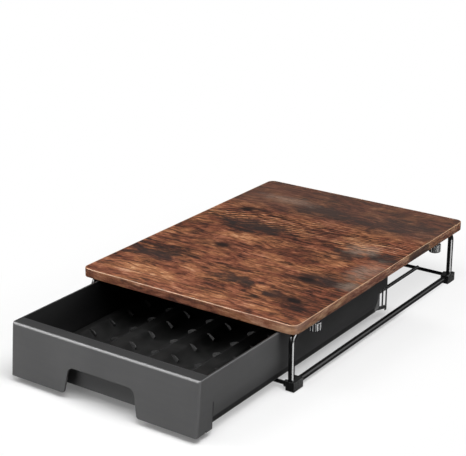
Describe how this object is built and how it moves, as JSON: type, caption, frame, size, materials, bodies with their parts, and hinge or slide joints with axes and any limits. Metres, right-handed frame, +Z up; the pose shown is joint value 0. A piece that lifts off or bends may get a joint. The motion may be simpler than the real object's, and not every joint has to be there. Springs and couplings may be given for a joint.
{
  "type": "coffee pod drawer",
  "caption": "Low stand with a wooden top for a coffee machine, and a pull-out moulded drawer below it that holds large coffee pods in four lanes.",
  "frame": {"origin": "on the floor, under the middle of the whole part's box with the drawer as it rests", "axes": "+X to the right seen from the front, +Y to the back, so the drawer opens towards -Y, +Z up"},
  "size_m": [0.33, 0.614, 0.09],
  "materials": {
    "wood": "matt",
    "wood_edge": "matt",
    "brass": "satin",
    "black_metal": "gloss",
    "foot_plastic": "satin",
    "rubber": "matt",
    "knob_plastic": "gloss",
    "steel": "brushed",
    "drawer_plastic": "satin",
    "rack_plastic": "satin"
  },
  "bodies": {
    "stand": {"top_board": "wood", "edge_band": "wood_edge", "threaded_inserts": "brass", "front_left_leg": "black_metal", "front_right_leg": "black_metal", "rear_left_leg": "black_metal", "rear_right_leg": "black_metal", "left_side_rail": "black_metal", "right_side_rail": "black_metal", "front_cross_rod": "black_metal", "rear_cross_rod": "black_metal", "left_slide_rod": "black_metal", "right_slide_rod": "black_metal", "front_left_foot": "foot_plastic", "front_right_foot": "foot_plastic", "rear_left_foot": "foot_plastic", "rear_right_foot": "foot_plastic", "rubber_pads": "rubber", "thumb_knobs": "knob_plastic", "screw_studs": "steel", "screw_washers": "steel"},
    "drawer": {"drawer_tray": "drawer_plastic", "pod_rack": "rack_plastic"}
  },
  "joints": [
    {"name": "drawer_slide", "type": "slide", "parent": "stand", "child": "drawer", "axis": [0, -1, 0], "range_m": [-0.1402, 0.255]}
  ]
}
